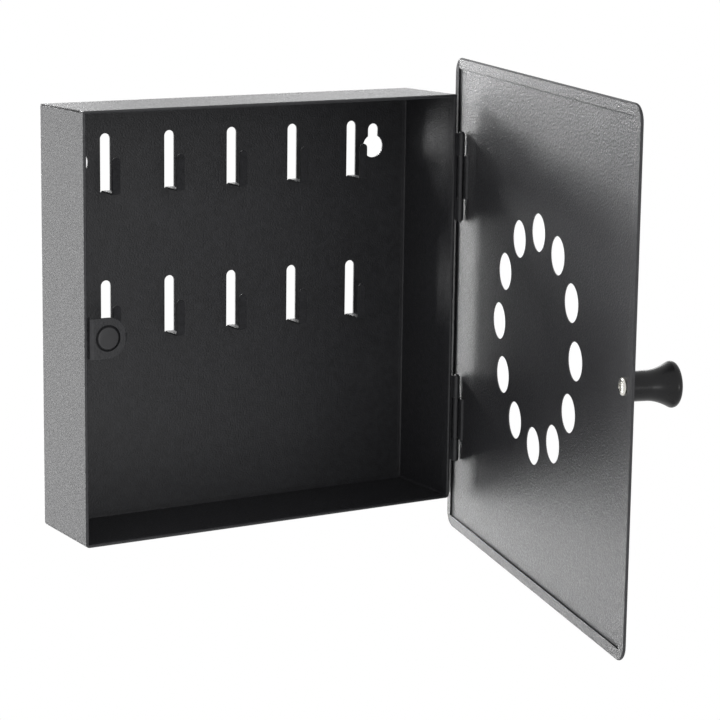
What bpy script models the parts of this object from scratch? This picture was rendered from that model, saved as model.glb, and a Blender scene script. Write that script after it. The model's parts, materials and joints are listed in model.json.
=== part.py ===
import math

import bmesh
import bpy
from mathutils import Matrix

# Wall-hung key cabinet with its door open. Metres. X runs to the right, Y towards the wall, Z up.
# Cabinet pieces are drawn with X = 0 in the middle, Y = 0 on the wall and Z = 0 at the underside.
# Door pieces are drawn closed, with X = 0 and Y = 0 on the hinge axis.

# Box
box_width = 0.2000
box_height = 0.2023
box_depth = 0.0484
box_sheet = 0.0007
box_hem_gap = 0.0002
box_hem_width = 0.0055
rear_bend_radius = 0.0012
rear_flange_width = 0.0088
lower_corner_radius = 0.0020
upper_corner_radius = 0.0005
top_rise = 0.0010
seam_width = 0.0005
seam_inset = 0.0003
seam_reach = 0.00045
seam_rise = 0.0006

# Back panel
panel_sheet = 0.0008
panel_corner_radius = 0.0012
keyhole_inset_left = 0.0179
keyhole_inset_right = 0.0198
keyhole_drop = 0.0284
keyhole_radius = 0.0057
keyhole_neck_width = 0.0058
keyhole_neck_rise = 0.0084
keyhole_to_slot = 0.0127
slot_width = 0.0052
slot_rise = 0.02745
slot_relief = 0.0002
upper_row_drop = 0.04265
row_pitch = 0.0704
tab_width = 0.0040
tab_sheet = 0.0007
tab_stand_off = 0.0120
tab_rise = 0.01725
tab_root = 0.0015
tab_bend_radius = 0.0008

# Magnet and its bracket
bracket_sheet = 0.0010
bracket_proud = 0.0027
bracket_radius = 0.0095
bracket_lift = -0.00205
bracket_reach = 0.01045
bracket_foot = 0.0081
bracket_bend_radius = 0.0009
magnet_clearance = 0.0010
magnet_face_radius = 0.0052
magnet_flange_radius = 0.0069
magnet_flange_depth = 0.0028
magnet_proud = 0.0004
magnet_edge = 0.0003

# Hinges
hinge_axis_ahead = 0.00145
barrel_radius = 0.00165
hinge_sheet = 0.0008
hinge_height = 0.0430
hinge_inset = 0.04045
hinge_lift = 0.00085
middle_knuckle = 0.0208
knuckle_gap = 0.0002
knuckle_relief = 0.00225
cabinet_leaf_reach = 0.0110
neck_reach = 0.0055
neck_bend_radius = 0.0007
pin_clearance = 0.00007
pin_head_radius = 0.00125
pin_head_rise = 0.0007
pin_head_gap = 0.0001

# Door
overhang_hinge_side = 0.01675
overhang_free_side = 0.01925
overhang_top = 0.0182
overhang_bottom = 0.0167
door_sheet = 0.0006
door_hem_gap = 0.0002
door_hem_width = 0.0053
door_corner_radius = 0.0080
ring_radius = 0.0497
ring_hole_radius = 0.0088
ring_shift = 0.0011
ring_lift = -0.0010
screw_clearance = 0.0004

# Knob and its screw
knob_inset = 0.0100
knob_lift = -0.0002
knob_neck_radius = 0.0065
knob_neck_length = 0.0085
knob_head_radius = 0.0099
knob_rim_radius = 0.0021
knob_rim_height = 0.0198
knob_dome_rise = 0.00104
knob_base_edge = 0.0004
screw_head_radius = 0.0039
screw_head_rise = 0.0020
screw_head_edge = 0.0006
screw_shank_radius = 0.0020
screw_length = 0.0120
screw_play = 0.0003
recess_width = 0.0009
recess_span = 0.0042
recess_depth = 0.0012

# Shared settings
seat_gap = 0.0003
overrun = 0.0020
weld_distance = 1e-7
open_angle = math.radians(75.7)
curl_angle = math.radians(280)
columns = (-2, -1, 0, 1, 2)
ring_hole_count = 12
flare_shares = (0.0, 0.14, 0.28, 0.42, 0.56, 0.70, 0.84, 1.0)
flare_power = 1.9
rim_start = math.radians(76)
rim_end = math.radians(-28)
dome_shares = (0.0, 0.25, 0.5, 0.75, 0.92)
tip_share = 0.12
fold_steps = 8
corner_steps = 8
curl_steps = 26
round_steps = 40

box_middle = box_height / 2
box_front = -box_depth
box_hem = 2 * box_sheet + box_hem_gap
slot_pitch = (box_width / 2 - keyhole_inset_right - keyhole_to_slot) / 2
axis_x = box_width / 2 + seat_gap + barrel_radius
axis_y = box_front - hinge_axis_ahead
door_inner = -barrel_radius - seat_gap
door_outer = door_inner - door_sheet
door_right = box_width / 2 + overhang_hinge_side - axis_x
door_left = -box_width / 2 - overhang_free_side - axis_x
door_top = box_height + overhang_top
door_bottom = -overhang_bottom
door_middle = (door_top + door_bottom) / 2
knob_x = door_left + knob_inset
neck_x = neck_reach - hinge_sheet / 2
knob_z = door_middle + knob_lift
hinge_heights = (
    box_middle + hinge_lift - (box_height / 2 - hinge_inset),
    box_middle + hinge_lift + (box_height / 2 - hinge_inset),
)

metal_black = (0.035, 0.036, 0.039, 1.0)
plastic_black = (0.020, 0.020, 0.022, 1.0)
magnet_black = (0.028, 0.028, 0.030, 1.0)
nickel_grey = (0.62, 0.62, 0.60, 1.0)
turn_to_y = Matrix.Rotation(math.radians(-90), 4, "X")
turn_from_y = Matrix.Rotation(math.radians(90), 4, "X")


def clear_scene():
    for old in list(bpy.data.objects):
        bpy.data.objects.remove(old, do_unlink=True)


def new_collection(name, hidden):
    made = bpy.data.collections.new(name)
    made.hide_render = hidden
    bpy.context.scene.collection.children.link(made)
    return made


def new_frame(name, place, parent=None, turn=0.0):
    empty = bpy.data.objects.new(name, None)
    empty.location = place
    empty.rotation_euler.z = turn
    empty.parent = parent
    parts.objects.link(empty)
    return empty


def new_material(name, colour, metallic, roughness):
    made = bpy.data.materials.new(name)
    made.use_nodes = True
    shader = made.node_tree.nodes["Principled BSDF"]
    shader.inputs["Base Color"].default_value = colour
    shader.inputs["Metallic"].default_value = metallic
    shader.inputs["Roughness"].default_value = roughness
    made.diffuse_color = colour
    return made


def object_from(name, shape, frame, cutter=False):
    # Turns a bmesh into an object in its frame, with its faces outwards.
    bmesh.ops.remove_doubles(shape, verts=shape.verts, dist=weld_distance)
    bmesh.ops.recalc_face_normals(shape, faces=shape.faces)
    mesh = bpy.data.meshes.new(name)
    shape.to_mesh(mesh)
    shape.free()
    made = bpy.data.objects.new(name, mesh)
    made.parent = frame
    if cutter:
        cutters.objects.link(made)
        made.hide_render = True
        made.display_type = "WIRE"
    else:
        parts.objects.link(made)
    return made


def evaluated_shape(guide, shape=None):
    # The guide's mesh with its modifiers, as a bmesh or added to one. The guide is removed.
    bpy.context.view_layer.update()
    mesh = bpy.data.meshes.new_from_object(guide.evaluated_get(bpy.context.evaluated_depsgraph_get()))
    shape = shape or bmesh.new()
    shape.from_mesh(mesh)
    bpy.data.objects.remove(guide, do_unlink=True)
    bpy.data.meshes.remove(mesh)
    return shape


def combine(target, tool, operation):
    step = target.modifiers.new(operation.lower(), "BOOLEAN")
    step.operation = operation
    step.solver = "EXACT"
    step.object = tool


def finish(piece, colour, metallic, roughness, smooth=False):
    piece.data.materials.append(new_material(piece.name, colour, metallic, roughness))
    if smooth:
        piece.data.shade_smooth()
        piece.data.set_sharp_from_angle(angle=math.radians(32))
    return piece


def arc(centre, radius, start, end, steps):
    points = []
    for step in range(steps + 1):
        angle = start + (end - start) * step / steps
        points.append((centre[0] + radius * math.cos(angle), centre[1] + radius * math.sin(angle)))
    return points


def folded_frame(low, high, profile, radius_at, closed, rise=0.0):
    # A sheet profile of (depth, inset) points, lofted round a rectangle in X and Z. The upper
    # corners rise by that share of the depth towards the front.
    corners = (
        (low[0], low[1], 1, 1, math.pi),
        (high[0], low[1], -1, 1, 1.5 * math.pi),
        (high[0], high[1], -1, -1, 0.0),
        (low[0], high[1], 1, -1, 0.5 * math.pi),
    )
    shape = bmesh.new()
    rings = []
    for depth, inset in profile:
        ring = []
        for index, (x, z, side_x, side_z, start) in enumerate(corners):
            radius = radius_at(index, inset)
            level = z + rise * min(side_z, 0) * depth
            centre = (x + side_x * (inset + radius), level + side_z * (inset + radius))
            for px, pz in arc(centre, radius, start, start + math.pi / 2, corner_steps):
                ring.append(shape.verts.new((px, depth, pz)))
        rings.append(ring)
    pairs = list(zip(rings, rings[1:]))
    if closed:
        pairs.append((rings[-1], rings[0]))
    for first, second in pairs:
        for index in range(len(first)):
            after = (index + 1) % len(first)
            shape.faces.new((first[index], first[after], second[after], second[index]))
    return shape


def bent_strip(path, half_widths, sheet, place):
    # An open strip along a bent path, with a half width at each point, thickened both ways.
    shape = bmesh.new()
    verts = [shape.verts.new(place(a, b, -half)) for (a, b), half in zip(path, half_widths)]
    edges = [shape.edges.new(pair) for pair in zip(verts, verts[1:])]
    made = bmesh.ops.extrude_edge_only(shape, edges=edges)
    raised = [item for item in made["geom"] if isinstance(item, bmesh.types.BMVert)]
    for vert in raised:
        index = min(range(len(verts)), key=lambda near: (verts[near].co - vert.co).length)
        vert.co = place(*path[index], half_widths[index])
    mesh = bpy.data.meshes.new("strip")
    shape.to_mesh(mesh)
    shape.free()
    guide = bpy.data.objects.new("strip", mesh)
    cutters.objects.link(guide)
    thicken = guide.modifiers.new("thicken", "SOLIDIFY")
    thicken.thickness = sheet
    thicken.offset = 0.0
    thicken.use_even_offset = True
    return evaluated_shape(guide)


def turned(name, profile, steps, turn, place, frame):
    # A profile of (radius, height) points from the top down, turned about Z, then laid in place.
    shape = bmesh.new()
    verts = [shape.verts.new((radius, 0.0, height)) for radius, height in profile]
    for pair in zip(verts, verts[1:]):
        shape.edges.new(pair)
    mesh = bpy.data.meshes.new(name + "_profile")
    shape.to_mesh(mesh)
    shape.free()
    guide = bpy.data.objects.new(name + "_profile", mesh)
    cutters.objects.link(guide)
    screw = guide.modifiers.new("turn", "SCREW")
    screw.steps = steps
    screw.render_steps = steps
    screw.use_merge_vertices = True
    screw.merge_threshold = weld_distance
    shape = evaluated_shape(guide)
    bmesh.ops.transform(shape, matrix=Matrix.Translation(place) @ turn, verts=shape.verts)
    return object_from(name, shape, frame)


def flat_sheet(name, outlines, sheet, middle, frame, cutter=False):
    # Each outline in X and Z, filled and thickened along Y, all in one mesh.
    shape = bmesh.new()
    for outline in outlines:
        curve = bpy.data.curves.new(name + "_outline", "CURVE")
        curve.dimensions = "2D"
        curve.fill_mode = "BOTH"
        curve.extrude = sheet / 2
        spline = curve.splines.new("POLY")
        spline.points.add(len(outline) - 1)
        for point, (a, b) in zip(spline.points, outline):
            point.co = (a, b, 0.0, 1.0)
        spline.use_cyclic_u = True
        guide = bpy.data.objects.new(name + "_outline", curve)
        cutters.objects.link(guide)
        evaluated_shape(guide, shape)
    stand = Matrix.Translation((0.0, middle, 0.0)) @ turn_from_y
    bmesh.ops.transform(shape, matrix=stand, verts=shape.verts)
    return object_from(name, shape, frame, cutter)


def box_cutter(name, low, high, frame):
    shape = bmesh.new()
    bmesh.ops.create_cube(shape, size=1)
    middle = [(a + b) / 2 for a, b in zip(low, high)]
    sides = [b - a for a, b in zip(low, high)]
    bmesh.ops.scale(shape, vec=sides, verts=shape.verts)
    bmesh.ops.translate(shape, vec=middle, verts=shape.verts)
    return object_from(name, shape, frame, True)


def round_cutters(name, centres, radius, low, high, frame):
    # Cylinders along Y at each (x, z), in one mesh.
    shape = bmesh.new()
    for x, z in centres:
        bmesh.ops.create_cone(
            shape,
            cap_ends=True,
            segments=round_steps,
            radius1=radius,
            radius2=radius,
            depth=high - low,
            matrix=Matrix.Translation((x, (low + high) / 2, z)) @ turn_from_y,
        )
    return object_from(name, shape, frame, True)


def make_housing():
    # Four walls folded from one strip, hemmed at the front and turned in at the rear.
    fold = box_hem / 2
    bend = rear_bend_radius
    inner_bend = bend - box_sheet
    right = math.pi / 2
    profile = [(box_front + fold, 0.0)]
    profile += arc((-bend, bend), bend, -right, 0.0, fold_steps)
    profile += [(0.0, rear_flange_width), (-box_sheet, rear_flange_width)]
    profile += arc((-bend, bend), inner_bend, 0.0, -right, fold_steps)
    profile += arc((box_front + fold, fold), box_hem_gap / 2, 3 * right, right, fold_steps)
    profile += [
        (box_front + box_hem_width, box_sheet + box_hem_gap),
        (box_front + box_hem_width, box_hem),
    ]
    profile += arc((box_front + fold, fold), fold, right, 3 * right, fold_steps)[:-1]
    radii = (lower_corner_radius, lower_corner_radius, upper_corner_radius, upper_corner_radius)
    half = box_width / 2
    shape = folded_frame(
        (-half, 0.0),
        (half, box_height),
        profile,
        lambda corner, inset: max(radii[corner] - inset, 0.0),
        True,
        top_rise / box_depth,
    )
    housing = object_from("housing", shape, cabinet)
    seam = box_cutter(
        "seam_cutter",
        (-half - overrun, box_front + box_hem, box_height - seam_inset - seam_width),
        (-half + seam_reach, overrun, box_height - seam_inset),
        cabinet,
    )
    for vert in seam.data.vertices:
        vert.co.z -= seam_rise * vert.co.y / box_depth
    combine(housing, seam, "DIFFERENCE")
    return finish(housing, metal_black, 0.2, 0.42)


def slot_outline(x, z):
    half = slot_width / 2
    low = z - slot_relief
    points = [(x - half, low), (x + half, low)]
    return points + arc((x, z + slot_rise - half), half, 0.0, math.pi, 2 * fold_steps)


def keyhole_outline(x, z):
    half = keyhole_neck_width / 2
    start = math.acos(half / keyhole_radius)
    points = arc((x, z), keyhole_radius, start, -math.pi - start, round_steps)
    return points + arc((x, z + keyhole_neck_rise), half, math.pi, 0.0, 2 * fold_steps)


def tab_places():
    for row in range(2):
        for column in columns:
            yield column * slot_pitch, box_height - upper_row_drop - row * row_pitch


def make_tabs(middle):
    # The hooks, each cut from its slot and bent out and up, with a round tip.
    half = tab_width / 2
    bend = tab_bend_radius
    reach = tab_stand_off + panel_sheet / 2
    path = [(0.0, -tab_root - bend)]
    path += arc((bend, -bend), bend, math.pi, math.pi / 2, fold_steps)
    path += arc((reach - bend, bend), bend, -math.pi / 2, 0.0, fold_steps)
    half_widths = [half] * len(path)
    for step in range(fold_steps + 1):
        angle = math.pi / 2 * step / fold_steps
        path.append((reach, tab_rise - half + half * math.sin(angle)))
        half_widths.append(half * max(math.cos(angle), tip_share))
    strip = bent_strip(path, half_widths, tab_sheet, lambda a, b, across: (across, -a, b))
    tab = bpy.data.meshes.new("tab")
    strip.to_mesh(tab)
    strip.free()
    shape = bmesh.new()
    for x, z in tab_places():
        known = set(shape.verts)
        shape.from_mesh(tab)
        added = [vert for vert in shape.verts if vert not in known]
        bmesh.ops.translate(shape, vec=(x, middle, z), verts=added)
    bpy.data.meshes.remove(tab)
    return object_from("tab_shapes", shape, cabinet, True)


def make_back_panel():
    edge = box_sheet + seat_gap
    middle = -edge - panel_sheet / 2
    radius = panel_corner_radius
    side = box_width / 2 - edge - radius
    low = edge + radius
    high = box_height - edge - radius
    right = math.pi / 2
    outline = []
    for x, z, start in ((side, low, -1), (side, high, 0), (-side, high, 1), (-side, low, 2)):
        outline += arc((x, z), radius, start * right, (start + 1) * right, fold_steps)
    openings = [slot_outline(x, z) for x, z in tab_places()]
    for x in (keyhole_inset_left - box_width / 2, box_width / 2 - keyhole_inset_right):
        openings.append(keyhole_outline(x, box_height - keyhole_drop))
    panel = flat_sheet("back_panel", [outline], panel_sheet, middle, cabinet)
    depth = panel_sheet + overrun
    opening_cutter = flat_sheet("opening_cutter", openings, depth, middle, cabinet, True)
    combine(panel, opening_cutter, "DIFFERENCE")
    combine(panel, make_tabs(middle), "UNION")
    return finish(panel, metal_black, 0.2, 0.42)


def make_bracket():
    # An L of sheet on the inside of the left wall, its round end holding the magnet.
    foot_x = box_hem + seat_gap + bracket_sheet / 2 - box_width / 2
    face_y = box_front - bracket_proud + bracket_sheet / 2
    height = box_middle + bracket_lift
    centre = bracket_reach - box_width / 2
    bend = bracket_bend_radius
    path = [(foot_x, box_front - bracket_proud + bracket_foot)]
    path += arc((foot_x + bend, face_y + bend), bend, math.pi, 1.5 * math.pi, fold_steps)
    half_widths = [bracket_radius] * len(path)
    for step in range(2 * fold_steps + 1):
        angle = math.pi / 2 * step / (2 * fold_steps)
        path.append((centre + bracket_radius * math.sin(angle), face_y))
        half_widths.append(bracket_radius * max(math.cos(angle), tip_share / 2))
    shape = bent_strip(
        path, half_widths, bracket_sheet, lambda a, b, across: (a, b, height + across)
    )
    bracket = object_from("magnet_bracket", shape, cabinet)
    hole = round_cutters(
        "magnet_hole_cutter",
        [(centre, height)],
        magnet_face_radius + magnet_clearance,
        face_y - overrun,
        face_y + overrun,
        cabinet,
    )
    combine(bracket, hole, "DIFFERENCE")
    return finish(bracket, metal_black, 0.2, 0.42)


def make_magnet():
    # A round magnet whose face looks out through the bracket, its flange behind it.
    neck = magnet_proud + bracket_sheet + seat_gap
    face = magnet_face_radius
    edge = magnet_edge
    profile = [
        (0.0, neck),
        (face - edge, neck),
        (face, neck - edge),
        (face, 0.0),
        (magnet_flange_radius - edge, 0.0),
        (magnet_flange_radius, -edge),
        (magnet_flange_radius, -magnet_flange_depth),
        (0.0, -magnet_flange_depth),
    ]
    place = (
        bracket_reach - box_width / 2,
        box_front - bracket_proud + bracket_sheet + seat_gap,
        box_middle + bracket_lift,
    )
    magnet = turned("magnet", profile, round_steps, turn_from_y, place, cabinet)
    return finish(magnet, magnet_black, 0.0, 0.5, True)


def make_cabinet_leaf(name, height):
    # A leaf on the outside of the right wall, curled round the axis at its upper and lower end.
    middle_radius = barrel_radius - hinge_sheet / 2
    path = [(-middle_radius, cabinet_leaf_reach)]
    path += arc((0.0, 0.0), middle_radius, math.pi, math.pi + curl_angle, curl_steps)
    shape = bent_strip(
        path,
        [hinge_height / 2] * len(path),
        hinge_sheet,
        lambda a, b, across: (axis_x + a, axis_y + b, height + across),
    )
    leaf = object_from(name, shape, cabinet)
    half = middle_knuckle / 2 + knuckle_gap
    far = barrel_radius + overrun
    notch = box_cutter(
        name + "_cutter",
        (axis_x - far, axis_y - far, height - half),
        (axis_x + far, axis_y + knuckle_relief, height + half),
        cabinet,
    )
    combine(leaf, notch, "DIFFERENCE")
    return finish(leaf, metal_black, 0.2, 0.42)


def make_door_knuckle(name, height):
    # The middle knuckle, whose neck bends through a slot in the door and ends flush with its face.
    middle_radius = barrel_radius - hinge_sheet / 2
    bend = neck_bend_radius
    path = [(-neck_x, door_outer)]
    path += arc((bend - neck_x, -middle_radius - bend), bend, math.pi, math.pi / 2, fold_steps)
    start = 1.5 * math.pi
    path += arc((0.0, 0.0), middle_radius, start, start + curl_angle, curl_steps)
    shape = bent_strip(
        path,
        [middle_knuckle / 2] * len(path),
        hinge_sheet,
        lambda a, b, across: (a, b, height + across),
    )
    return finish(object_from(name, shape, door), metal_black, 0.2, 0.42)


def make_pin(name, height):
    half = hinge_height / 2 + pin_head_gap
    shank = barrel_radius - hinge_sheet - pin_clearance
    profile = []
    for share in dome_shares:
        profile.append((pin_head_radius * share, half + pin_head_rise * math.sqrt(1 - share**2)))
    profile += [(pin_head_radius, half), (shank, half)]
    profile += [(across, -along) for across, along in reversed(profile)]
    place = (axis_x, axis_y, height)
    pin = turned(name, profile, curl_steps, Matrix.Identity(4), place, cabinet)
    return finish(pin, metal_black, 0.3, 0.4, True)


def make_door_panel():
    # A sheet whose edge is folded flat onto its inner side all round.
    fold = door_sheet + door_hem_gap / 2
    middle = door_inner + door_hem_gap / 2
    right = math.pi / 2
    profile = [(door_inner, 2 * door_hem_width)]
    profile += arc((middle, fold), door_hem_gap / 2, 2 * right, 4 * right, fold_steps)
    profile += [
        (middle + door_hem_gap / 2, door_hem_width),
        (middle + fold, door_hem_width),
    ]
    profile += arc((middle, fold), fold, 0.0, -2 * right, 2 * fold_steps)
    profile.append((door_outer, 2 * door_hem_width))
    shape = folded_frame(
        (door_left, door_bottom),
        (door_right, door_top),
        profile,
        lambda corner, inset: door_corner_radius * max(1 - inset / door_hem_width, 0.0),
        False,
    )
    bmesh.ops.remove_doubles(shape, verts=shape.verts, dist=weld_distance)
    rims = [edge for edge in shape.edges if edge.is_boundary]
    bmesh.ops.holes_fill(shape, edges=rims, sides=0)
    panel = object_from("door_panel", shape, door)
    centres = []
    for index in range(ring_hole_count):
        angle = 2 * math.pi * index / ring_hole_count
        centres.append(
            (
                (door_left + door_right) / 2 - ring_shift + ring_radius * math.cos(angle),
                door_middle + ring_lift + ring_radius * math.sin(angle),
            )
        )
    low = door_outer - overrun
    high = door_inner + overrun
    ring = round_cutters("ring_cutter", centres, ring_hole_radius, low, high, door)
    radius = screw_shank_radius + screw_clearance
    hole = round_cutters("screw_hole_cutter", [(knob_x, knob_z)], radius, low, high, door)
    combine(panel, ring, "DIFFERENCE")
    combine(panel, hole, "DIFFERENCE")
    across = hinge_sheet / 2 + seat_gap
    along = middle_knuckle / 2 + seat_gap
    for level, height in zip(("lower", "upper"), hinge_heights):
        slot = box_cutter(
            "neck_cutter_" + level,
            (-neck_x - across, low, height - along),
            (-neck_x + across, high, height + along),
            door,
        )
        combine(panel, slot, "DIFFERENCE")
    return finish(panel, metal_black, 0.2, 0.42)


def make_knob():
    # Turned from its domed face over a round rim and a hollow flare to a straight neck.
    rim = (knob_head_radius - knob_rim_radius, knob_rim_height)
    edge = arc(rim, knob_rim_radius, rim_start, rim_end, fold_steps)
    dome_radius, dome_foot = edge[0]
    flare_radius, flare_end = edge[-1]
    bore = screw_shank_radius + screw_play
    depth = screw_length + screw_play
    profile = []
    for share in dome_shares:
        height = dome_foot + knob_dome_rise * (1 - share**2)
        profile.append((dome_radius * share, height))
    profile += edge[:-1]
    for share in reversed(flare_shares):
        height = knob_neck_length + (flare_end - knob_neck_length) * share
        spread = (flare_radius - knob_neck_radius) * share**flare_power
        profile.append((knob_neck_radius + spread, height))
    profile += [
        (knob_neck_radius, knob_base_edge),
        (knob_neck_radius - knob_base_edge, 0.0),
        (bore, 0.0),
        (bore, depth),
        (0.0, depth),
    ]
    place = (knob_x, door_outer - seat_gap, knob_z)
    knob = turned("knob", profile, round_steps, turn_from_y, place, door)
    return finish(knob, plastic_black, 0.0, 0.42, True)


def make_knob_screw():
    radius = screw_head_radius
    shank = screw_shank_radius
    base = door_inner + seat_gap
    dome = screw_head_rise - screw_head_edge
    profile = []
    for share in dome_shares:
        profile.append((radius * share, screw_head_edge + dome * math.sqrt(1 - share**2)))
    profile += [
        (radius, screw_head_edge),
        (radius, 0.0),
        (shank, 0.0),
        (shank, screw_head_edge - screw_length),
        (shank - screw_head_edge, -screw_length),
        (0.0, -screw_length),
    ]
    screw = turned("knob_screw", profile, round_steps, turn_to_y, (knob_x, base, knob_z), door)
    floor = base + screw_head_rise - recess_depth
    top = floor + recess_depth + overrun
    narrow = recess_width / 2
    wide = recess_span / 2
    for label, a, b in (("across", wide, narrow), ("upright", narrow, wide)):
        bar = box_cutter(
            "recess_cutter_" + label,
            (knob_x - a, floor, knob_z - b),
            (knob_x + a, top, knob_z + b),
            door,
        )
        combine(screw, bar, "DIFFERENCE")
    return finish(screw, nickel_grey, 1.0, 0.3, True)


clear_scene()
parts = new_collection("key_cabinet", False)
cutters = new_collection("cutters", True)
# The part's origin lies on the wall, in the middle of the rear flange at the top.
cabinet = new_frame("cabinet_frame", (0.0, 0.0, rear_flange_width / 2 - box_height))
door = new_frame("door_swing", (axis_x, axis_y, 0.0), cabinet, open_angle)

make_housing()
make_back_panel()
make_bracket()
make_magnet()
for level, middle in zip(("lower", "upper"), hinge_heights):
    make_cabinet_leaf("hinge_cabinet_leaf_" + level, middle)
    make_door_knuckle("hinge_door_knuckle_" + level, middle)
    make_pin("hinge_pin_" + level, middle)
make_door_panel()
make_knob()
make_knob_screw()
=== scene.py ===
import json
import math

import bmesh
import bpy
from mathutils import Matrix, Vector


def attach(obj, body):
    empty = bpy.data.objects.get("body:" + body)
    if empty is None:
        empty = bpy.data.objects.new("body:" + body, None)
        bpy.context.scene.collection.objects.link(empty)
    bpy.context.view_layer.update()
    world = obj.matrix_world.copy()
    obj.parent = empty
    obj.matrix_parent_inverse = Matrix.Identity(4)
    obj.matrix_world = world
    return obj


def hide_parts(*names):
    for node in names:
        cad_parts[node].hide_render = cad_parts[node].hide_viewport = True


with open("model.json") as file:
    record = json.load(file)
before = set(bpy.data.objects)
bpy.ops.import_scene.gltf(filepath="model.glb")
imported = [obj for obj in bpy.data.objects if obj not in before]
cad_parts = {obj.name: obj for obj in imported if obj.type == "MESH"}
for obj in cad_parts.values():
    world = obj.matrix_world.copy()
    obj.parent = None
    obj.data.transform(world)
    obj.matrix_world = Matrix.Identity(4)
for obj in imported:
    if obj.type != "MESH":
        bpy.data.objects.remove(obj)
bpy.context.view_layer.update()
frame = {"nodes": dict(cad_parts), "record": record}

nodes = frame["nodes"]
slotOf = {part["node"]: part["material_slot"] for part in frame["record"]["subparts"]}
bodyOf = {}
for body, names in frame["record"]["behaviour"]["bodies"].items():
    bodyOf.update(dict.fromkeys(names, body))

# All lengths are in metres, unless a note says otherwise
shot = {
    "place": (-0.572396, -1.082459, 0.124290),   # where the lens stands
    "forward": (0.50359, 0.84267, -0.19054),
    "right": (0.85961, -0.51079, 0.01293),
    "focal": 126.2,                              # mm
    "sensor": 36,                                # mm
    "shift": (0.00168, -0.03492),
    "nearest": 0.01,
    "farthest": 100,
}

studio = {
    "fill": 0.62,
    "floorHeight": -1.5,
    "floorSize": 12,
    "floorColour": (0.78, 0.78, 0.78),
    "floorPale": (0.82, 0.82, 0.82),
    "floorClouds": 0.6,
    "floorRoughness": 0.8,
    "lamps": {                                   # place, target, width, height, watts
        "lowStrip": ((0.22, 2.0, -0.6), (0.2, 0, -0.1), 0.2, 1.0, 9.2),
        "lowEdgeStrip": ((0.48, 2.0, -0.5), (0.2, 0, -0.1), 0.2, 1.0, 2.9),
        "sideSoftbox": ((-1.4, 2.0, -0.6), (-1.4, 0, -0.6), 0.9, 1.6, 34.1),
        "midStrip": ((0.25, 2.0, 0.36), (0.25, 0, 0.36), 0.6, 0.35, 56.9),
        "highSoftbox": ((-0.9, 2.0, 1.1), (-0.9, 0, 1.1), 0.8, 1.0, 40.7),
        "rightSoftbox": ((1.5, 2.0, 0.6), (1.5, 0, 0.6), 0.9, 0.8, 7),
        "frontGlint": ((-0.2, -2.4, -0.22), (0.06, -0.25, -0.1), 0.8, 0.12, 8.0),
    },
}


def newMaterial(name):
    made = bpy.data.materials.new(name)
    made.use_nodes = True
    tree = made.node_tree
    place = tree.nodes.new("ShaderNodeTexCoord").outputs["Object"]
    return made, tree, tree.nodes["Principled BSDF"], place


def noiseOf(tree, size, detail, source, distortion=0.0):
    # Noise whose features are about size across
    noise = tree.nodes.new("ShaderNodeTexNoise")
    noise.inputs["Scale"].default_value = 1 / size
    noise.inputs["Detail"].default_value = detail
    noise.inputs["Roughness"].default_value = 0.55
    noise.inputs["Distortion"].default_value = distortion
    tree.links.new(source, noise.inputs["Vector"])
    return noise.outputs["Fac"]


def ramp(tree, source, low, high, start=0.3, end=0.7):
    # From low to high while the source goes from start to end
    spread = tree.nodes.new("ShaderNodeMapRange")
    spread.inputs["From Min"].default_value = start
    spread.inputs["From Max"].default_value = end
    spread.inputs["To Min"].default_value = low
    spread.inputs["To Max"].default_value = high
    tree.links.new(source, spread.inputs["Value"])
    return spread.outputs["Result"]


def mathOf(tree, operation, first, second):
    made = tree.nodes.new("ShaderNodeMath")
    made.operation = operation
    tree.links.new(first, made.inputs[0])
    if isinstance(second, float):
        made.inputs[1].default_value = second
    else:
        tree.links.new(second, made.inputs[1])
    return made.outputs[0]


def dotOf(tree, first, second):
    made = tree.nodes.new("ShaderNodeVectorMath")
    made.operation = "DOT_PRODUCT"
    tree.links.new(first, made.inputs[0])
    if isinstance(second, tuple):
        made.inputs[1].default_value = second
    else:
        tree.links.new(second, made.inputs[1])
    return made.outputs["Value"]


def partOf(tree, place, axis):
    split = tree.nodes.new("ShaderNodeSeparateXYZ")
    tree.links.new(place, split.inputs[0])
    return split.outputs[axis]


def mixColour(tree, share, first, second):
    mix = tree.nodes.new("ShaderNodeMix")
    mix.data_type = "RGBA"
    for socket, value in ((mix.inputs[6], first), (mix.inputs[7], second)):
        if isinstance(value, tuple):
            socket.default_value = (*value, 1.0)
        else:
            tree.links.new(value, socket)
    tree.links.new(share, mix.inputs[0])
    return mix.outputs[2]


def bumpOf(tree, height, strength, distance, normal):
    bump = tree.nodes.new("ShaderNodeBump")
    bump.inputs["Strength"].default_value = strength
    bump.inputs["Distance"].default_value = distance
    tree.links.new(height, bump.inputs["Height"])
    tree.links.new(normal, bump.inputs["Normal"])
    return bump.outputs["Normal"]


def softNormal(tree, radius):
    # The surface's direction, rounded over sharp edges
    soft = tree.nodes.new("ShaderNodeBevel")
    soft.samples = 6
    soft.inputs["Radius"].default_value = radius
    return soft.outputs["Normal"]


def edgeShare(tree, soft, start, end):
    # 0 on a flat face, rising to 1 along a sharp edge
    plain = tree.nodes.new("ShaderNodeNewGeometry").outputs["Normal"]
    return ramp(tree, dotOf(tree, soft, plain), 1.0, 0.0, start, end)


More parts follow.
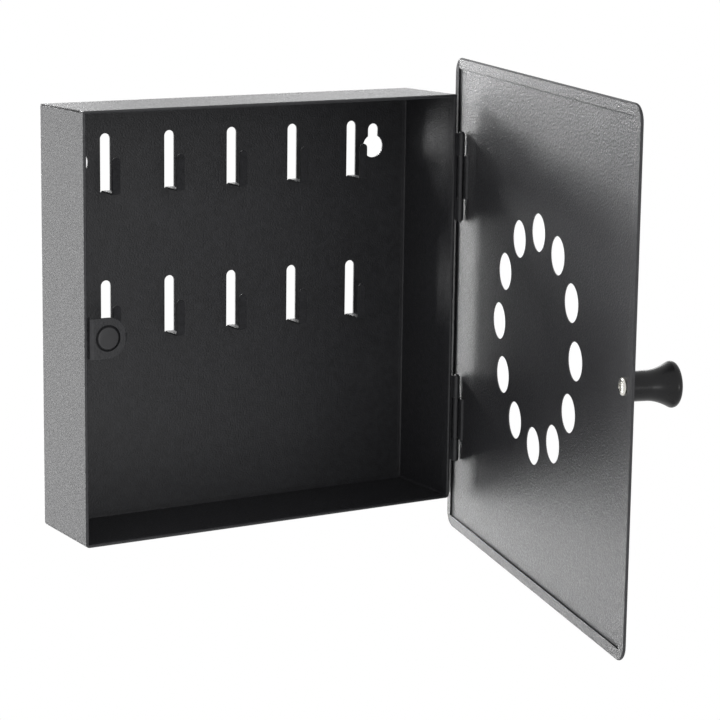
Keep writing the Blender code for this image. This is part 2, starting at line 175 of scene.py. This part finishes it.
coat = {
    "colour": (0.0150, 0.0151, 0.0171),          # satin black powder coat
    "pale": (0.0270, 0.0273, 0.0306),
    "worn": (0.10, 0.10, 0.103),                 # paler edges: partly rubbed wear, partly a painted highlight along sharp rims
    "roughness": (0.42, 0.56),
    "glossSpan": (0.35, 0.65),                   # the share of the grain that it changes over
    "grain": 0.0009,                             # size of the coat's grain
    "specks": (0.0, 0.6, 0.5, 0.7),              # least, most, and where they begin
    "mottle": 0.003,                             # size of its faint patches
    "swirl": 0.4,
    "wear": 0.004,                               # size of the patches of worn and painted-highlight edge
    "rubbing": (0.0, 0.55, 0.45, 0.75),          # least, most, and where they begin
    "rubbedEdge": (0.70, 0.97),
    "bump": 1.0,
    "bumpDepth": 0.00024,
    "edge": 0.0003,                              # the coat rounds sharp sheet edges
    "dryRoughness": 0.9,                         # where the coat lies thin and dry
    "blend": 0.0003,                             # over which it turns dry
    "topFold": 0.0219,                           # height where the door's top fold begins
    "hingeFold": (0.2470, 0.9690, 0),            # the way from the door's free edge to its hinges
    "hingeFoldStart": -0.0137,
    "hingeFoldLow": -0.1970,
    "lowBlend": 0.002,
    "hookTips": -0.0105,
    "tipBlend": 0.0005,
    "seam": (1, -0.01136, -1),                   # across the seam of the box's top left edge
    "seamEdge": -0.10405,
    "seamFront": -0.0445,
    "seamBlend": 0.00008,
    "gap": (0.002, 0.002, 0.0021),               # painted shade inside that seam
}


def foldShare(tree, place):
    # 1 along the door's top fold and its hem by the hinges
    height = partOf(tree, place, "Z")
    start, lowest, top = coat["hingeFoldStart"], coat["hingeFoldLow"], coat["topFold"]
    along = dotOf(tree, place, coat["hingeFold"])
    beside = ramp(tree, along, 0.0, 1.0, start - coat["blend"], start)
    above = ramp(tree, height, 0.0, 1.0, lowest - coat["lowBlend"], lowest)
    fold = ramp(tree, height, 0.0, 1.0, top - coat["blend"], top)
    return mathOf(tree, "MAXIMUM", fold, mathOf(tree, "MULTIPLY", beside, above))


def tipShare(tree, place):
    # 1 at the upright tips of the hooks
    start = coat["hookTips"]
    return ramp(tree, partOf(tree, place, "Y"), 1.0, 0.0, start - coat["tipBlend"], start)


def seamShare(tree, place):
    # 1 in the box's top left seam, which widens towards the front, where shade is painted
    edge, front, blend = coat["seamEdge"], coat["seamFront"], coat["seamBlend"]
    inside = ramp(tree, dotOf(tree, place, coat["seam"]), 1.0, 0.0, edge - blend, edge + blend)
    behind = ramp(tree, partOf(tree, place, "Y"), 0.0, 1.0, front - coat["blend"], front)
    return mathOf(tree, "MULTIPLY", inside, behind)


def coatMaterial(name, dryShare=None, paintShadeToo=False):
    # dryShare says where the coat is dry, and the flag after it paints shade on those places as
    # well
    made, tree, shader, place = newMaterial(name)
    grain = noiseOf(tree, coat["grain"], 3.0, place)
    mottle = noiseOf(tree, coat["mottle"], 4.0, place, coat["swirl"])
    wear = noiseOf(tree, coat["wear"], 3.0, place)
    rounded = softNormal(tree, coat["edge"])
    base = mixColour(tree, ramp(tree, mottle, 0.0, 1.0), coat["colour"], coat["pale"])
    speck = mixColour(tree, ramp(tree, grain, *coat["specks"]), base, coat["pale"])
    # Sharp edges turn paler in patches: partly rubbed wear, partly a painted highlight
    edges = edgeShare(tree, rounded, *coat["rubbedEdge"])
    wornAndLitShare = mathOf(tree, "MULTIPLY", edges, ramp(tree, wear, *coat["rubbing"]))
    tint = mixColour(tree, wornAndLitShare, speck, coat["worn"])
    gloss = ramp(tree, grain, *coat["roughness"], *coat["glossSpan"])
    if dryShare:
        roughAndShadeShare = dryShare(tree, place)
        dryGloss = mathOf(tree, "MULTIPLY", roughAndShadeShare, coat["dryRoughness"])
        gloss = mathOf(tree, "MAXIMUM", gloss, dryGloss)
        # Painted shade: the dry places also take the dark seam colour
        if paintShadeToo:
            tint = mixColour(tree, roughAndShadeShare, tint, coat["gap"])
    tree.links.new(tint, shader.inputs["Base Color"])
    tree.links.new(gloss, shader.inputs["Roughness"])
    shader.inputs["Metallic"].default_value = 0.0
    shader.inputs["IOR"].default_value = 1.5
    bumpy = bumpOf(tree, grain, coat["bump"], coat["bumpDepth"], rounded)
    tree.links.new(bumpy, shader.inputs["Normal"])
    return made


plastic = {
    "colour": (0.0105, 0.0105, 0.0112),
    "roughness": (0.24, 0.36),
    "grain": 0.0011,
    "bump": 0.12,
    "specular": 0.22,
}

ferrite = {
    "colour": (0.024, 0.024, 0.026),
    "roughness": (0.42, 0.55),
    "grain": 0.0006,
    "bump": 0.15,
    "specular": 0.5,
}

nickel = {
    "colour": (0.52, 0.51, 0.475),
    "roughness": (0.18, 0.32),
    "grain": 0.0004,
    "bump": 0.05,
    "specular": 0.5,
}

# What the three finishes above share
smoothFinish = {
    "patches": 0.006,
    "paler": 1.35,
    "edge": 0.00025,
    "bumpDepth": 0.0001,
}


def plainMaterial(name, finish, metallic):
    made, tree, shader, place = newMaterial(name)
    grain = noiseOf(tree, finish["grain"], 3.0, place)
    patches = noiseOf(tree, smoothFinish["patches"], 3.0, place)
    pale = tuple(min(tone * smoothFinish["paler"], 1.0) for tone in finish["colour"])
    base = mixColour(tree, ramp(tree, patches, 0.0, 1.0), finish["colour"], pale)
    tree.links.new(base, shader.inputs["Base Color"])
    tree.links.new(ramp(tree, patches, *finish["roughness"]), shader.inputs["Roughness"])
    shader.inputs["Metallic"].default_value = metallic
    shader.inputs["Specular IOR Level"].default_value = finish["specular"]
    rounded = softNormal(tree, smoothFinish["edge"])
    bumpy = bumpOf(tree, grain, finish["bump"], smoothFinish["bumpDepth"], rounded)
    tree.links.new(bumpy, shader.inputs["Normal"])
    return made


meshes = {
    "weld": 1e-6,
    "sharpAngle": 32,                            # degrees
    "flatWeight": 90,
}


def objectFrom(name, shape):
    mesh = bpy.data.meshes.new(name)
    shape.to_mesh(mesh)
    shape.free()
    made = bpy.data.objects.new(name, mesh)
    bpy.context.scene.collection.objects.link(made)
    return made


def settle(piece, body, material):
    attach(piece, body)
    piece.data.materials.clear()
    piece.data.materials.append(material)
    piece.data.shade_smooth()
    piece.data.set_sharp_from_angle(angle=math.radians(meshes["sharpAngle"]))
    weigh = piece.modifiers.new("flatsFirst", "WEIGHTED_NORMAL")     # flats keep their normal
    weigh.weight = meshes["flatWeight"]
    weigh.keep_sharp = True


def skinOf(node, material):
    # A merged, smooth-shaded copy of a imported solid, which stands for it
    shape = bmesh.new()
    shape.from_mesh(nodes[node].data)
    bmesh.ops.remove_doubles(shape, verts=shape.verts, dist=meshes["weld"])
    words = node.split("_")
    piece = objectFrom(words[0] + "".join(word.title() for word in words[1:]), shape)
    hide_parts(node)
    settle(piece, bodyOf[node], material)


def addBlock(shape, low, high, edge):
    made = bmesh.ops.create_cube(shape, size=1)["verts"]
    bmesh.ops.scale(shape, vec=[b - a for a, b in zip(low, high)], verts=made)
    bmesh.ops.translate(shape, vec=[(a + b) / 2 for a, b in zip(low, high)], verts=made)
    bmesh.ops.bevel(
        shape,
        geom=list({rim for vert in made for rim in vert.link_edges}),
        offset=edge,
        segments=2,
        affect="EDGES",
        profile=0.5,
        material=-1,
    )


def turned(shape, angle, axis):
    # Turns the whole shape about an axis through the origin, by degrees
    turn = Matrix.Rotation(math.radians(angle), 3, axis)
    bmesh.ops.rotate(shape, cent=(0, 0, 0), matrix=turn, verts=shape.verts)


def spun(shape, outline, steps):
    # An outline of (radius, height) spun about Z
    verts = [shape.verts.new((radius, 0, height)) for radius, height in outline]
    edges = [shape.edges.new(pair) for pair in zip(verts, verts[1:])]
    bmesh.ops.spin(
        shape,
        geom=verts + edges,
        cent=(0, 0, 0),
        axis=(0, 0, 1),
        dvec=(0, 0, 0),
        angle=2 * math.pi,
        steps=steps,
        use_merge=True,
        use_duplicate=False,
    )
    bmesh.ops.remove_doubles(shape, verts=shape.verts, dist=meshes["weld"])
    bmesh.ops.recalc_face_normals(shape, faces=shape.faces)


def arcPoints(centre, radius, start, end, steps):
    points = []
    for step in range(steps + 1):
        angle = math.radians(start + (end - start) * step / steps)
        points.append((centre[0] + radius * math.cos(angle), centre[1] + radius * math.sin(angle)))
    return points


hanging = {
    "axis": (0.10195, -0.04985, -0.1979),        # foot of the hinge line
    "open": 75.7,                                # degrees that the door stands open
    "inner": -0.00195,                           # faces of the shut door, from the hinge line
    "outer": -0.00255,
    "knob": (-0.2112, 0.1017),                   # along the shut door, and up
    "sink": 0.0003,                              # how far a fitting reaches into its neighbour
}


def hangOnDoor(shape):
    # From the shut door's own lines to where the open door stands
    turn = Matrix.Rotation(math.radians(hanging["open"]), 4, "Z")
    turn = Matrix.Translation(hanging["axis"]) @ turn
    bmesh.ops.transform(shape, matrix=turn, verts=shape.verts)


knobTurning = {
    "neck": 0.0065,
    "neckLength": 0.0085,
    "head": 0.0099,
    "rim": 0.0021,
    "rimHeight": 0.0198,
    "rimArc": (76, -28),                         # degrees
    "rimSteps": 14,
    "dome": 0.00104,
    "domeSteps": 8,
    "flare": 1.9,
    "flareSteps": 20,
    "foot": ((0.0, 0.0004), (-0.0003, 0.0001), (-0.0004, -0.0003)),  # from the neck, and height
    "steps": 96,
}


def makeKnob(material):
    neck, foot = knobTurning["neck"], knobTurning["neckLength"]
    rimCentre = (knobTurning["head"] - knobTurning["rim"], knobTurning["rimHeight"])
    arc = knobTurning["rimArc"]
    rim = arcPoints(rimCentre, knobTurning["rim"], *arc, knobTurning["rimSteps"])
    outline = []
    for step in range(knobTurning["domeSteps"] + 1):
        share = step / knobTurning["domeSteps"]
        outline.append((rim[0][0] * share, rim[0][1] + knobTurning["dome"] * (1 - share ** 2)))
    outline += rim[1:]
    end = rim[-1]
    for step in reversed(range(knobTurning["flareSteps"])):
        share = step / knobTurning["flareSteps"]
        radius = neck + (end[0] - neck) * share ** knobTurning["flare"]
        outline.append((radius, foot + (end[1] - foot) * share))
    outline += [(neck + out, height) for out, height in knobTurning["foot"]]
    outline.append((0, -hanging["sink"]))
    shape = bmesh.new()
    spun(shape, outline, knobTurning["steps"])
    turned(shape, 90, "X")
    x, z = hanging["knob"]
    place = (x, hanging["outer"] - hanging["sink"], z)
    bmesh.ops.translate(shape, vec=place, verts=shape.verts)
    hangOnDoor(shape)
    piece = objectFrom("turnedKnob", shape)
    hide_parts("knob")
    settle(piece, "door", material)


screwHead = {
    "radius": 0.0039,
    "rise": 0.0020,
    "rim": 0.0006,
    "domeSteps": 12,
    "shank": 0.0020,
    "length": 0.0120,
    "point": 0.0005,                             # width of the bevel at its end
    "steps": 64,
    "recessWidth": 0.00105,                      # of each arm of the cross
    "recessReach": 0.0047,
    "recessDepth": 0.0013,
    "recessTaper": (0.42, 0.62, 1),
    "recessTurn": 28,                            # degrees, as it was last driven
}


def cutRecess(piece, top):
    # Two crossed bars, tapered downwards, are cut out of the head
    cutters = []
    for angle in (0, 90):
        bar = bmesh.new()
        made = bmesh.ops.create_cube(bar, size=1)["verts"]
        size = (screwHead["recessReach"], screwHead["recessWidth"], 2 * screwHead["recessDepth"])
        bmesh.ops.scale(bar, vec=size, verts=made)
        foot = [vert for vert in made if vert.co.z < 0]
        bmesh.ops.scale(bar, vec=screwHead["recessTaper"], verts=foot)
        turned(bar, angle + screwHead["recessTurn"], "Z")
        bmesh.ops.translate(bar, vec=(0, 0, top), verts=made)
        cutters.append(objectFrom("recessBar", bar))
    for cutter in cutters:
        cut = piece.modifiers.new("cut", "BOOLEAN")
        cut.operation = "DIFFERENCE"
        cut.solver = "EXACT"
        cut.object = cutter
    ready = piece.evaluated_get(bpy.context.evaluated_depsgraph_get())
    carved = bpy.data.meshes.new_from_object(ready)
    piece.modifiers.clear()
    piece.data = carved
    for cutter in cutters:
        bpy.data.objects.remove(cutter)


def makeScrew(material):
    radius, rim, shank = screwHead["radius"], screwHead["rim"], screwHead["shank"]
    dome, sink, end = screwHead["rise"] - rim, hanging["sink"], -screwHead["length"]
    outline = []
    for step in range(screwHead["domeSteps"] + 1):
        angle = math.radians(90 * step / screwHead["domeSteps"])
        outline.append((radius * math.sin(angle), rim + dome * math.cos(angle)))
    outline += [(radius, -sink), (shank, -sink), (shank, rim + end)]
    outline += [(shank - screwHead["point"], end), (0, end)]
    shape = bmesh.new()
    spun(shape, outline, screwHead["steps"])
    piece = objectFrom("roundHeadScrew", shape)
    cutRecess(piece, screwHead["rise"])
    shape = bmesh.new()
    shape.from_mesh(piece.data)
    turned(shape, -90, "X")
    x, z = hanging["knob"]
    bmesh.ops.translate(shape, vec=(x, hanging["inner"] + sink, z), verts=shape.verts)
    hangOnDoor(shape)
    shape.to_mesh(piece.data)
    shape.free()
    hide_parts("knob_screw")
    settle(piece, "door", material)


hinge = {
    "levels": {"lower": 0.0413, "upper": 0.1627},    # up from the foot of the hinge line
    "leafLow": (0.0998, -0.0482),                # the coat between leaf and wall
    "leafHigh": (0.10045, -0.0391),
    "leafHeight": 0.0424,
    "leafEdge": 0.0001,
    "neck": -0.0051,                             # along the shut door
    "neckHeight": 0.0208,
    "neckSheet": 0.0008,
    "neckEdge": 0.0002,
    "neckLap": 0.0001,
    "bead": 0.0001,
    "proud": 0.0003,                             # how far a bead stands past neck and door
    "shy": 0.00005,                              # and short of the door's outer face
}


def makeHingeBeads(material):
    # The coat that bridges leaf and wall, and neck and door
    proud = hinge["proud"]
    for level, height in hinge["levels"].items():
        half = hinge["leafHeight"] / 2
        z = height + hanging["axis"][2]
        shape = bmesh.new()
        low, high = (*hinge["leafLow"], z - half), (*hinge["leafHigh"], z + half)
        addBlock(shape, low, high, hinge["leafEdge"])
        leafCoat = objectFrom(level + "LeafCoat", shape)
        settle(leafCoat, "cabinet", material)
        half = hinge["neckHeight"] / 2
        reach = hinge["neckSheet"] / 2 + proud
        start = hinge["neck"] - reach - hinge["bead"]
        shape = bmesh.new()
        low = (start, hanging["outer"] + hinge["shy"], height - half - proud)
        high = (hinge["neck"] + hinge["neckLap"], hanging["inner"] + proud, height + half + proud)
        addBlock(shape, low, high, hinge["neckEdge"])
        hangOnDoor(shape)
        neckBead = objectFrom(level + "NeckBead", shape)
        settle(neckBead, "door", material)


bracketFoot = {
    "low": (-0.0993, -0.0478, -0.1081),          # from the inside of the left wall's hem
    "high": (-0.0979, -0.0433, -0.0895),
    "edge": 0.00008,
}


def makeBracketCoat(material):
    shape = bmesh.new()
    addBlock(shape, bracketFoot["low"], bracketFoot["high"], bracketFoot["edge"])
    piece = objectFrom("bracketCoat", shape)
    settle(piece, "cabinet", material)


box = {
    "width": 0.2000,
    "height": 0.2023,
    "base": -0.1979,                             # height of its underside
    "sheet": 0.0007,
    "panelFace": -0.0018,                        # the back panel's front
    "cornerRadius": 0.0013,
    "filletWidth": 0.0018,
    "filletDepth": 0.00035,
    "filletCurve": ((0.0, 1.0), (0.12, 0.55), (0.35, 0.22), (0.65, 0.06), (1.0, 0.0)),
    "filletSink": 0.0002,
}


def makePanelFillet(material):
    # The coat's fillet in the corner between the back panel and the four walls
    halfWide = box["width"] / 2 - box["sheet"]
    low = box["base"] + box["sheet"]
    high = box["base"] + box["height"] - box["sheet"]
    halfHigh = (high - low) / 2
    middle = Vector((0, 0, (low + high) / 2))
    face, sink = box["panelFace"], box["filletSink"]
    wide, deep = box["filletWidth"], box["filletDepth"]
    rings = [(-sink, face + sink), (-sink, face - deep)]
    rings += [(across * wide, face - up * deep) for across, up in box["filletCurve"]]
    rings.append((wide, face + sink))
    shape = bmesh.new()
    corners = ((-halfWide, low), (halfWide, low), (halfWide, high), (-halfWide, high))
    ring = [shape.verts.new((x, 0, z)) for x, z in corners]
    for pair in zip(ring, ring[1:] + ring[:1]):
        shape.edges.new(pair)
    bmesh.ops.bevel(
        shape,
        geom=ring[:2],                           # the lower corners are bent, the upper ones sharp
        offset=box["cornerRadius"],
        segments=5,
        affect="VERTICES",
        profile=0.5,
        material=-1,
    )

    def placeRing(verts, sources, inset, depth):
        # The opening's outline, moved inwards by inset
        for vert, source in zip(verts, sources):
            out = source - middle
            x, z = out.x * (1 - inset / halfWide), out.z * (1 - inset / halfHigh)
            vert.co = middle + Vector((x, 0, z))
            vert.co.y = depth

    loop, verts = list(shape.edges), list(shape.verts)
    sources = [vert.co.copy() for vert in verts]
    placeRing(verts, sources, *rings[0])
    for inset, depth in rings[1:]:
        before = [vert.co.copy() for vert in verts]
        made = bmesh.ops.extrude_edge_only(shape, edges=loop)["geom"]
        loop = [item for item in made if isinstance(item, bmesh.types.BMEdge)]
        verts = [item for item in made if isinstance(item, bmesh.types.BMVert)]
        order = []
        for vert in verts:
            gaps = [(old - vert.co).length for old in before]
            order.append(gaps.index(min(gaps)))
        sources = [sources[index] for index in order]
        placeRing(verts, sources, inset, depth)
    ends = [rim for rim in shape.edges if rim.is_boundary]
    bmesh.ops.bridge_loops(shape, edges=ends)
    bmesh.ops.recalc_face_normals(shape, faces=shape.faces)
    piece = objectFrom("panelFillet", shape)
    settle(piece, "cabinet", material)


def makeCamera():
    data = bpy.data.cameras.new("lens")
    camera = bpy.data.objects.new("lens", data)
    bpy.context.scene.collection.objects.link(camera)
    forward = Vector(shot["forward"]).normalized()
    right = Vector(shot["right"])
    right = (right - forward * right.dot(forward)).normalized()
    up = right.cross(forward)
    turn = Matrix((right, up, -forward)).transposed().to_4x4()
    camera.matrix_world = Matrix.Translation(shot["place"]) @ turn
    data.sensor_width = shot["sensor"]
    data.lens = shot["focal"]
    data.shift_x, data.shift_y = shot["shift"]
    data.clip_start = shot["nearest"]
    data.clip_end = shot["farthest"]
    bpy.context.scene.camera = camera


def makeLamp(name, place, target, width, height, watts):
    data = bpy.data.lights.new(name, "AREA")
    data.shape = "RECTANGLE"
    data.size, data.size_y = width, height
    data.energy = watts
    lamp = bpy.data.objects.new(name, data)
    bpy.context.scene.collection.objects.link(lamp)
    lamp.location = place
    lamp.rotation_mode = "QUATERNION"
    lamp.rotation_quaternion = (Vector(target) - Vector(place)).to_track_quat("-Z", "Y")
    lamp.visible_camera = False


def whiteWhereSeen(tree, lit, white, out):
    # The camera and mirrored rays meet white, all other rays meet the lit shader
    path = tree.nodes.new("ShaderNodeLightPath")
    either = path.outputs["Is Camera Ray"]
    for name in ("Is Glossy Ray", "Is Transmission Ray"):
        either = mathOf(tree, "MAXIMUM", either, path.outputs[name])
    mix = tree.nodes.new("ShaderNodeMixShader")
    tree.links.new(either, mix.inputs[0])
    tree.links.new(lit.outputs[0], mix.inputs[1])
    tree.links.new(white.outputs[0], mix.inputs[2])
    tree.links.new(mix.outputs[0], out.inputs["Surface"])


def makeWorld():
    world = bpy.data.worlds.new("studio")
    bpy.context.scene.world = world
    world.use_nodes = True
    tree = world.node_tree
    tree.nodes.clear()
    out = tree.nodes.new("ShaderNodeOutputWorld")
    light, seen = (tree.nodes.new("ShaderNodeBackground") for _ in range(2))
    for shader, strength in ((light, studio["fill"]), (seen, 1.0)):
        shader.inputs["Color"].default_value = (1, 1, 1, 1)
        shader.inputs["Strength"].default_value = strength
    whiteWhereSeen(tree, light, seen, out)


def makeFloor():
    # The cabinet hangs above it at the height of a wall box
    shape = bmesh.new()
    bmesh.ops.create_grid(shape, x_segments=8, y_segments=8, size=studio["floorSize"] / 2)
    bmesh.ops.translate(shape, vec=(0, 0, studio["floorHeight"]), verts=shape.verts)
    floor = objectFrom("studioFloor", shape)
    made, tree, shader, place = newMaterial("paleFloor")
    clouds = ramp(tree, noiseOf(tree, studio["floorClouds"], 3.0, place), 0.0, 1.0)
    tint = mixColour(tree, clouds, studio["floorColour"], studio["floorPale"])
    tree.links.new(tint, shader.inputs["Base Color"])
    shader.inputs["Roughness"].default_value = studio["floorRoughness"]
    white = tree.nodes.new("ShaderNodeEmission")
    whiteWhereSeen(tree, shader, white, tree.nodes["Material Output"])
    floor.data.materials.append(made)


makeCamera()
makeWorld()
makeFloor()
for name, values in studio["lamps"].items():
    makeLamp(name, *values)
print("lens and studio ready")

finishes = {
    "powder_coated_steel": coatMaterial("powderCoat"),
    "magnet": plainMaterial("magnetFerrite", ferrite, 0.0),
    "knob_plastic": plainMaterial("knobPlastic", plastic, 0.0),
    "plated_steel": plainMaterial("screwNickel", nickel, 1.0),
}
ownCoats = {
    # the box's coat, with painted shade in its top left seam
    "housing": coatMaterial("boxPowderCoat", seamShare, paintShadeToo=True),
    "door_panel": coatMaterial("doorPowderCoat", foldShare),
    "back_panel": coatMaterial("backPowderCoat", tipShare),
}
for name in nodes:
    if name not in ("knob", "knob_screw"):
        skinOf(name, ownCoats.get(name, finishes[slotOf[name]]))
print("sheet and hinges ready")
makeKnob(finishes["knob_plastic"])
makeScrew(finishes["plated_steel"])
print("knob and screw ready")
makeHingeBeads(finishes["powder_coated_steel"])
makeBracketCoat(finishes["powder_coated_steel"])
makePanelFillet(finishes["powder_coated_steel"])
print("coat in the joints ready")

bpy.context.scene.view_settings.view_transform = "Standard"
